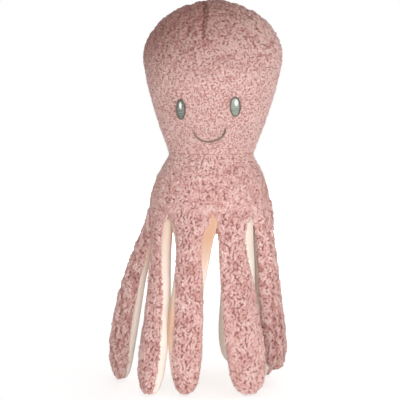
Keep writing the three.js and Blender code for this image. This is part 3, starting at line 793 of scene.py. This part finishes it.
# %% The front of the head
def rolled(x, rise):
    """A place on the level face turned by the face's roll about the middle between the eyes."""
    up, cos, sin = rise - EYE_RISE, math.cos(FACE_ROLL), math.sin(FACE_ROLL)
    return FACE_SHIFT + x * cos - up * sin, EYE_RISE + x * sin + up * cos


def head_front(x, rise):
    """The point of the head's front that is x across and a rise above the neck."""
    across, deep = head_half(HEAD_WIDTH, rise), head_half(HEAD_DEPTH, rise)
    y = -deep * np.sqrt(np.clip(1 - (x / across) ** 2, 0, 1))
    return NECK + place(x + HEAD_LEAN * rise / HEAD_HEIGHT, y, rise)


def face_spot(x, rise, lift):
    """A point lifted off the head's front along its normal, and that normal."""
    step = 0.1 * MM
    across = head_front(x + step, rise) - head_front(x - step, rise)
    normal = unit(np.cross(across, head_front(x, rise + step) - head_front(x, rise - step)))
    return head_front(x, rise) + normal * np.asarray(lift)[..., None], normal


def smile_line(share):
    """The smile's middle line: the lower half of an ellipse, from its left end to its right end."""
    turn = math.pi * (1 + share)
    x, rise = SMILE_WIDTH / 2 * np.cos(turn), SMILE_DROP * np.sin(turn)
    return rolled(SMILE_SHIFT + x, SMILE_RISE + rise)


# %% Curls of the head
def off_the_face(u, v):
    """True for the places that are clear of the eyes and the smile."""
    spot = head_skin(u, v) - NECK
    x, rise = spot[:, 0] - HEAD_LEAN * spot[:, 2] / HEAD_HEIGHT, spot[:, 2]
    free = np.ones(len(u), bool)
    for side in (-1, 1):
        eye_x, eye_rise = rolled(side * EYE_SPACING / 2, EYE_RISE)
        reach = np.hypot((x - eye_x) / (EYE_WIDTH / 2), (rise - eye_rise) / (EYE_HEIGHT / 2))
        free &= reach > 1
    line_x, line_rise = smile_line(np.linspace(0, 1, 40))
    away = np.hypot(x[:, None] - line_x, rise[:, None] - line_rise).min(1)
    return free & (away > SMILE_CLEARANCE)


# %% Painted shade on the head
BROW_RISE, PAINTED_SHADE_SPAN = 65 * MM, 77 * MM  # where the painted shade begins, and how far up it is full
LEFT_PAINTED_SHADE = 0.14


def head_painted_shade(points):
    """Painted shade, which darkens the plush towards the crown: a straight rise from the brow to
    the top, times one less a share of the way to the right. A little more is added on the left,
    where the head lies in shade."""
    x, rise = points[..., 0] - NECK[0], points[..., 2] - NECK[2]
    up = np.clip((rise - BROW_RISE) / PAINTED_SHADE_SPAN, 0, 1)
    left = LEFT_PAINTED_SHADE * ease(-x, 15 * MM, 65 * MM) * ease(rise, 10 * MM, 60 * MM)
    return up * np.clip(1 - x / (125 * MM), 0.4, 1.5) + left


# %% Halves of the head
def head_half_piece(name, u_range, seed, front, nodes):
    """One half of the cover. Its curls get larger and clumpier from the face up, most of all on the
    right of the forehead. The cloth between them and the curls are paler low down, as painted
    light, and painted shade darkens them towards the crown."""
    grid = head_skin(np.linspace(*u_range, 121)[None, :], np.linspace(0, 1, 121)[:, None])
    # Paler low on the face: painted light.
    painted_light_low = 0.2 * (1 - ease(grid[..., 2] - NECK[2], 70 * MM, 115 * MM))
    cloth = sheet(grid, SKIN_PART, pile=CLOTH_PILE + painted_light_low, dusk=head_painted_shade(grid))
    u, v = scatter(head_skin, u_range, (0.0, 0.995), HEAD_PILE.apart, seed)
    if front:
        free = off_the_face(u, v)
        u, v = u[free], v[free]
    spot = head_skin(u, v)
    x, y, rise = (spot - NECK).T
    # Darker along the crown's seam and in the hollows beside it: painted shade, with the curls
    # flattened there too.
    pressed_and_shaded = np.clip(dart_line(x, rise) * (y < 0) + 0.35 * gathers(x, rise), 0, 1)
    size = 0.85 + 0.35 * ease(rise, 40 * MM, 120 * MM)
    # Lighter on the lower face: painted light.
    lighter = 1.3 - 0.9 * ease(rise, 40 * MM, 100 * MM)
    tufts = ease(x, 15 * MM, 45 * MM) * (y < 10 * MM)
    relief = 1 + (1.5 + 1.5 * tufts) * ease(rise, 75 * MM, 125 * MM)
    dusk = head_painted_shade(spot)
    pile = curls(head_skin, u, v, HEAD_PILE, seed + 1, size, pressed_and_shaded, lighter, dusk, relief)
    ends = fibres(head_skin, u_range, (0.0, 0.99), HEAD_PILE, 2.6 * MM, seed + 2, dusk=head_painted_shade)
    made = piece(name, [cloth, pile, ends], [PLUSH])
    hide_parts(*nodes)
    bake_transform(made)


head_half_piece("head_front_plush", (math.pi, math.tau), 11, True, ["head_front_cover"])
head_half_piece("head_back_plush", (0, math.pi), 21, False, ["head_back_cover", "head_stuffing"])

# %% [markdown]
# ## Eyes and smile
#
# They are machine embroidery. Each eye is a pad of satin stitches, side by side, inside a darker
# outline, and a small patch of white stitches lies on top. The smile is a line of short stitches
# that overlap like the strands of a rope. Flat patches with a picture of thread would do from afar.
# Close by, light runs along every stitch, so each one is a thin tube on the face.

# %% Stitches on the face
STITCH_SIDES = 6
EYE_ROWS, GLINT_ROWS, OUTLINE_STITCHES, SMILE_STRANDS = 26, 6, 22, 15
PAD_PART, SATIN_PART, OUTLINE_PART = (0.01, 0.01, 0.2, 0.99), (0.22, 0, 0.6, 1), (0.62, 0, 1, 1)


def stitches(x, rise, lift, thickness, random, uv_box, tone=0.0):
    """Threads along many lines of the face. Each one is arched, so its ends go into the cloth."""
    points, normal = face_spot(x, rise, lift)
    tone = tone + random.normal(0, 1, len(points))
    return tubes(points, thickness / 2, normal, STITCH_SIDES, uv_box, tone=tone)


def oval_stitches(middle, size, rows, upright, lift, arch, random, uv_box, tone=0.0):
    """Satin stitches across an oval: even rows, each of which runs from edge to edge of it."""
    width, height = size
    along = np.linspace(-1, 1, 9)[None, :]
    row = ((np.arange(rows) + 0.5) / rows * 2 - 1)[:, None]
    reach = np.sqrt(1 - row**2)
    span_x, span_y = (row, reach * along) if upright else (reach * along, row)
    x = middle[0] + width / 2 * span_x + 0 * along
    rise = middle[1] + height / 2 * span_y + 0 * along
    domed = lift + arch * np.sqrt(np.clip(1 - span_x**2 - span_y**2, 0, 1)) - 0.5 * MM * along**8
    thickness = (width if upright else height) / rows * 1.25
    return stitches(*rolled(x, rise), domed, thickness, random, uv_box, tone)


def outline(middle, size, lift, thickness, random, uv_box):
    """A closed line of thread round an oval, in short stitches that overlap a little."""
    t = np.linspace(-1, 1, 5)[None, :]
    turn = math.tau * (np.arange(OUTLINE_STITCHES)[:, None] + 0.75 * t) / OUTLINE_STITCHES
    x, rise = middle[0] + size[0] / 2 * np.cos(turn), middle[1] + size[1] / 2 * np.sin(turn)
    arched = lift + 0.3 * MM * (1 - t**2) + 0 * turn
    return stitches(*rolled(x, rise), arched, thickness, random, uv_box)


# %% Eyes
def eye_pieces(side, x, width_share, tone, glint_shift, glint_share, seed):
    """The pad, satin stitches and outline of one eye, and the glint on it. A pad is a dome whose
    height is the root of one less the squared share of the way to its edge."""
    random = np.random.default_rng(seed)
    middle, size = (x, EYE_RISE), (EYE_WIDTH * width_share - 0.8 * MM, EYE_HEIGHT - 0.8 * MM)
    turn, share = np.linspace(0, math.tau, 49)[None, :], np.linspace(0, 1, 9)[:, None]
    pad_x = middle[0] + size[0] / 2 * share * np.cos(turn)
    pad_rise = middle[1] + size[1] / 2 * share * np.sin(turn)
    dome = (np.sqrt(1 - share**2) - 0.6) * MM + 0 * turn
    pad, _ = face_spot(*rolled(pad_x, pad_rise), dome)
    patches = [
        sheet(pad[::-1], PAD_PART),
        oval_stitches(middle, size, EYE_ROWS, False, -0.4 * MM, 1.1 * MM, random, SATIN_PART, tone),
        outline(middle, size, 0.0, 1.4 * MM, random, OUTLINE_PART),
    ]
    eye = piece(f"eye_{side}_stitches", patches, [GREY_THREAD, DARK_GREY_THREAD], [0, 0, 1])
    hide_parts(f"eye_{side}")
    middle = (x + glint_shift, EYE_RISE + GLINT_ABOVE_EYE_MIDDLE)
    size = (GLINT_WIDTH * glint_share, GLINT_HEIGHT)
    white = oval_stitches(middle, size, GLINT_ROWS, True, 0.7 * MM, 0.5 * MM, random, WHOLE_TEXTURE)
    glint = piece(f"eye_glint_{side}_stitches", [white], [WHITE_THREAD])
    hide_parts(f"eye_glint_{side}")
    for made in (eye, glint):
        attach(made, "head")


# The left eye's threads are darker and the right eye's lighter: painted shade and painted light, as
# the left of the face lies in shade.
eye_pieces("left", -EYE_SPACING / 2, 0.82, -2.0, 0.0, 0.8, 61)
eye_pieces("right", EYE_SPACING / 2, 0.96, 1.0, 0.8 * MM, 1.1, 62)


# %% Smile
def smile_piece():
    """Strands along the smile, a little aslant and arched, and thicker towards its right end."""
    random = np.random.default_rng(63)
    centre = np.linspace(0.075, 0.925, SMILE_STRANDS)[:, None]
    t = np.linspace(-1, 1, 7)[None, :]
    x, rise = smile_line(centre + 0.055 * t)
    lean = 0.35 * MM * t
    arched = (0.5 - t**2) * MM + 0 * centre
    thickness = np.linspace(1.1, 1.9, SMILE_STRANDS)[:, None] * MM
    strands = stitches(x, rise + lean, arched, thickness, random, WHOLE_TEXTURE)
    made = piece("smile_stitches", [strands], [BROWN_THREAD])
    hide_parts("smile")
    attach(made, "head")


smile_piece()

# %% [markdown]
# ## The body and the neck
#
# The body's pile has longer and fatter curls, which get smaller towards the neck. It could be a
# cone, but cloth that is filled bulges, so its flare is a part of a sine wave. Its hem turns under,
# and a panel of jersey closes it. In the fold of the neck lies a band on a ball, which keeps the
# fold closed when the head nods or tilts.

# %% Body halves
def body_half_piece(name, u_range, seed, nodes):
    """One half of the cover, whose curls get larger and darker down to the middle of its height.
    Their lighter tone near the neck is painted light.
    """
    share = np.linspace(0, 1 + HEM_TUCK_SHARE, 51)
    grid = body_skin(np.linspace(*u_range, 101)[None, :], share[:, None])
    cloth = sheet(grid[:, ::-1], SKIN_PART, pile=CLOTH_PILE)
    u, v = scatter(body_skin, u_range, (0.0, 1.06), BODY_PILE.apart, seed)
    size = 0.72 + 0.28 * ease(v, 0, 0.45)
    # Lighter near the neck: painted light.
    lighter = 1 - 1.6 * ease(v, 0, 0.45)
    pile = curls(body_skin, u, v, BODY_PILE, seed + 1, size=size, lighter=lighter, outwards=-1.0)
    ends = fibres(body_skin, u_range, (0.0, 1.0), BODY_PILE, 2.8 * MM, seed + 2, outwards=-1.0)
    made = piece(name, [cloth, pile, ends], [PLUSH])
    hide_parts(*nodes)
    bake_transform(made)


body_half_piece("body_front_plush", (math.pi, math.tau), 31, ["body_front_cover"])
body_half_piece("body_back_plush", (0, math.pi), 41, ["body_back_cover", "body_stuffing"])

# %% Underside of the body
def base_skin(turn, share):
    """A level panel inside the hem whose middle sags as half an egg."""
    across, deep = (body_half(size, BODY_HEIGHT, 2 * MM) for size in (BODY_WIDTH, BODY_DEPTH))
    inwards = ARM_ROOT_THICKNESS - ARM_ROOT_OVERHANG + BASE_SAG_GAP
    sag_across, sag_deep = BODY_WIDTH / 2 - inwards, BODY_DEPTH / 2 - inwards
    x, y = across * share * np.cos(turn), deep * share * np.sin(turn)
    away = np.hypot(x / sag_across, y / sag_deep)
    sag = BASE_SAG * np.sqrt(np.clip(1 - away**2.2, 0, 1))
    return NECK + place(x, y, -BODY_HEIGHT - sag)


def base_piece():
    """The panel, all in tan: warm painted shade, as it lies in shade above the arms."""
    grid = base_skin(np.linspace(0, math.tau, 121)[None, :], np.linspace(0, 1, 81)[:, None])
    made = piece("base_velour", [sheet(grid, WHOLE_SHEET, tone=1.0)], [JERSEY])
    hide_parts("base_underside")
    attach(made, "torso")


base_piece()


# %% Sizes in the fold of the neck
NECK_BAND_INSET, NECK_BAND_LATITUDE = 4.4 * MM, math.radians(22)
THREAD_INSET, THREAD_TWISTS, PLY_SWING, PLY_RADIUS = 1.2 * MM, 60, 0.4 * MM, 0.45 * MM


def neck_skin(turn, share):
    """A band of the ball on which the head tilts, from below the neck's middle to above it."""
    latitude = NECK_BAND_LATITUDE * (2 * share - 1)
    level = np.cos(latitude)
    ball = place(np.cos(turn) * level, np.sin(turn) * level, np.sin(latitude))
    return NECK + (NECK_RADIUS - NECK_BAND_INSET) * ball


# %% Fold and stitching of the neck
def neck_pieces():
    """The band with its curls, and a ring of two plies that wind round the ring's line."""
    grid = neck_skin(np.linspace(0, math.tau, 161)[None, :], np.linspace(0, 1, 17)[:, None])
    u, v = scatter(neck_skin, (0, math.tau), (0.1, 0.9), HEAD_PILE.apart, 51)
    # The curls in the fold are made lighter: painted light in a fold that lies in shade.
    pile = curls(neck_skin, u, v, HEAD_PILE, 52, lighter=1.0)
    fold = piece("neck_fold", [sheet(grid, SKIN_PART), pile], [PLUSH])
    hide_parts("neck_seam_band")
    turn = np.linspace(0, math.tau, 481)[None, :]
    ply = np.array([0, math.pi])[:, None]
    wind = THREAD_TWISTS * turn + ply
    out = NECK_RADIUS - THREAD_INSET + PLY_SWING * np.cos(wind)
    path = NECK + place(out * np.cos(turn), out * np.sin(turn), PLY_SWING * np.sin(wind))
    ring = piece("neck_thread", [tubes(path, PLY_RADIUS, UP, 5, WHOLE_TEXTURE)], [ROSE_THREAD])
    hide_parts("neck_stitching")
    for made in (fold, ring):
        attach(made, "neck")


neck_pieces()

# %% [markdown]
# ## The arms
#
# Each arm is a tube of two cloths, rose plush outside and cream jersey inside. It could be drawn by
# hand eight times, but one profile along a curve makes every arm from a few numbers.

# %% Seams of the arms
ROOT_SPREAD = 8 * MM  # by which the plush widens at the root, so that the arms meet at the hem
ROOT_TUCK = 3.5 * MM  # by which its top draws in, so that no ledge shows below the hem
JERSEY_INSET = 0.7 * MM
LAP, LAP_INSET = math.radians(25), 2.9 * MM  # of the jersey's edges, which lie under the plush
PUCKER_DEPTH, PUCKER_LENGTH, SEAM_DIP = 0.3 * MM, 1.3 * MM, 0.9 * MM


def seams(arm, s):
    """The turns at which the plush meets the jersey on the two edges of an arm."""
    rolls = [math.radians(roll) * (1 - ease(s, 0.5 * gone, gone)) for roll, gone in arm.rolls]
    begun = ease(s, 0, 0.1)
    return rolls[0] * begun - math.pi / 2, math.pi / 2 - rolls[1] * begun


def bulge(arm, turn, s):
    """How far an arm swells sideways between its root and its tip, by its edge."""
    side = np.where(np.sin(turn) < 0, *arm.bulges)
    return MM * side * ease(s, 0, 0.22) * (1 - ease(s, 0.5, 0.85))


# %% Plush of an arm
def plush_patches(name, arm, seed):
    """Cloth, curls and loose fibres of the outer half of an arm, between its two seams."""

    def rose(turn, s):
        """The skin of the plush. At its very root it draws in under the body's hem."""
        tuck = ROOT_TUCK * (1 - ease(s, -0.02, 0.04))
        spread = ROOT_SPREAD * np.clip((0.16 - s) / 0.18, 0, 1) + bulge(arm, turn, s)
        return arm_skin(name, turn, s, PILE_DEPTH + tuck, spread + tuck)

    def dusk(s):
        """The arm's painted shade, eased in on the way down."""
        return arm.dusk * ease(s, 0.3, 0.75)

    v = np.linspace(ARM_START, 1, 121)[:, None]
    low, high = seams(arm, v)
    grid = rose(low + (high - low) * np.linspace(0, 1, 49)[None, :], v)
    cloth = sheet(grid, SKIN_PART, pile=CLOTH_PILE, dusk=dusk(v))
    u, s = scatter(rose, (low.min(), high.max()), (ARM_START, 0.995), ARM_PILE.apart, seed)
    clear = np.minimum(u - seams(arm, s)[0], seams(arm, s)[1] - u)
    free = clear > math.radians(4)
    u, s, clear = u[free], s[free], clear[free]
    size = 0.65 + 0.35 * ease(clear, 0, math.radians(25))
    pile = curls(rose, u, s, ARM_PILE, seed + 1, size, lighter=-0.6, dusk=dusk(s), relief=arm.relief)
    ends = fibres(rose, (low.max(), high.min()), (0.0, 0.98), ARM_PILE, 2.8 * MM, seed + 2)
    return [cloth, pile, ends]


# %% Jersey of an arm
def jersey_patch(name, arm):
    """The inner half of an arm. Its edges lap under the plush, and the cloth puckers along the
    seams, as a wave of the way down. It spreads and hangs out by the arm's webs and slacks."""
    v = np.linspace(ARM_START, 1, 121)[:, None]
    low, high = seams(arm, v)
    far = low + math.tau
    turn = high - LAP + (far - high + 2 * LAP) * np.linspace(0, 1, 73)[None, :]
    lapped = ease(np.clip((high - turn) / LAP, 0, 1) + np.clip((turn - far) / LAP, 0, 1), 0, 1)
    near_seam = bell(turn, high, 0.35) + bell(turn, far, 0.35)
    hang = bell(v, 0.62, 0.2)
    # The tan is warm painted shade, strongest near the root and where the jersey hangs out.
    spreads, shade_tans = [], []
    for (web, gone, tan), (slack, slack_shade_tan) in zip(arm.webs, arm.slacks):
        spreads.append(MM * (web * (1 - ease(v, 0.06, gone)) + slack * hang))
        shade_tans.append(np.maximum(tan * (1 - ease(v, 0.12, 0.45)), slack_shade_tan * hang))
    near = np.sin(turn) < 0
    spread = np.where(near, *spreads) * (1 - ease(lapped, 0, 0.8)) + bulge(arm, turn, v)
    inset = JERSEY_INSET + LAP_INSET * lapped + SEAM_DIP * np.clip(near_seam, 0, 1) * (1 - lapped)
    inset = inset + PUCKER_DEPTH * near_seam * np.sin(v * HEM_HEIGHT / PUCKER_LENGTH)
    skin = arm_skin(name, turn, v, inset, spread)
    return sheet(skin, WHOLE_SHEET, tone=np.where(near, *shade_tans))


# %% Arms
def arm_pieces(name, seed):
    """Both cloths of an arm."""
    arm = ARMS[name]
    hinge, _, _ = arm_frame(name)
    top = piece(name + "_arm_plush", plush_patches(name, arm, seed), [PLUSH])
    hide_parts(name + "_arm_top", name + "_arm_stuffing")
    under = piece(name + "_arm_jersey", [jersey_patch(name, arm)], [JERSEY])
    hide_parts(name + "_arm_underside")
    for made in (top, under):
        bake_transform(made)


for number, name in enumerate(ARMS):
    arm_pieces(name, 100 + 10 * number)

# %% [markdown]
# ## Camera, light and floor
#
# The photograph was taken from the front with a long lens, a little above the middle of the toy.
# Soft light comes from low in front, more of it from the right, so the crown and the left are
# darker, and painted shade in the plush darkens them further. A picture of a room could light the
# toy, but four wide lamps are easier to move.

# %% Camera
PICTURE_SIDE = 0.4  # metres across the view at the toy
CAMERA_DISTANCE, CAMERA_ELEVATION = 1.3, math.radians(5)
AIM = np.array([3 * MM, 0, 186 * MM])


def camera():
    """A long lens: its length is to the sensor as the distance is to the side of the picture."""
    data = bpy.data.cameras.new("camera")
    data.sensor_width = 36
    data.lens = data.sensor_width * CAMERA_DISTANCE / PICTURE_SIDE
    made = linked("camera", data)
    way = np.array([0, -math.cos(CAMERA_ELEVATION), math.sin(CAMERA_ELEVATION)])
    made.location = AIM + way * CAMERA_DISTANCE
    made.rotation_euler = (math.pi / 2 - CAMERA_ELEVATION, 0, 0)
    bpy.context.scene.camera = made
    print("lens of", round(data.lens, 1), "mm")


camera()

# %% Lamps
def lamp(name, where, size, power):
    """A wide lamp that looks at the toy."""
    data = bpy.data.lights.new(name, "AREA")
    data.shape, data.size, data.size_y, data.energy = "RECTANGLE", *size, power
    made = linked(name, data)
    made.location = where
    way = unit(AIM - np.array(where))
    made.rotation_euler = (math.acos(-way[2]), 0, math.atan2(way[1], way[0]) - math.pi / 2)


lamp("key", (0.95, -1.4, 0.14), (0.9, 0.16), 9.5)
lamp("front", (-0.25, -1.65, 0.15), (0.9, 0.16), 12.5)
lamp("back", (0.3, 1.5, 0.12), (0.9, 0.2), 12)
lamp("top", (0.1, -0.1, 1.7), (1.2, 1.2), 4.5)


# %% World
def world():
    """Dim light on the toy, and white where the camera looks."""
    made = bpy.data.worlds.new("studio")
    bpy.context.scene.world = made
    tree = Tree(made)
    air = tree.mix(tree.seen(), (0.3, 0.3, 0.3, 1), (1, 1, 1, 1))
    tree.feed(tree.nodes["Background"].inputs["Color"], air)


world()


# %% Floor
def floor():
    """A plane that glows only for the camera, from grey at the toy to white further off."""
    side = 3.0
    corners = np.array([[[-side, -side, 0], [side, -side, 0]], [[-side, side, 0], [side, side, 0]]])
    finish = Finish("floor", Base_Color=(0.8, 0.8, 0.8, 1), Roughness=0.9, Emission_Strength=1.0)
    spot = finish.add("ShaderNodeTexCoord", {}, {}, "Object")
    away = finish.add("ShaderNodeVectorMath", {"operation": "LENGTH"}, [spot], "Value")
    far = finish.add("ShaderNodeMapRange", {}, {"Value": away, "From Min": 0.3, "From Max": 1.2})
    glow = finish.mix(far, (0.55, 0.55, 0.55, 1), (1, 1, 1, 1))
    finish.set(Emission_Color=finish.mix(finish.seen(), (0, 0, 0, 1), glow))
    piece("floor", [sheet(corners, WHOLE_TEXTURE)], [finish.material])


floor()
bpy.context.scene.view_settings.view_transform = "Standard"
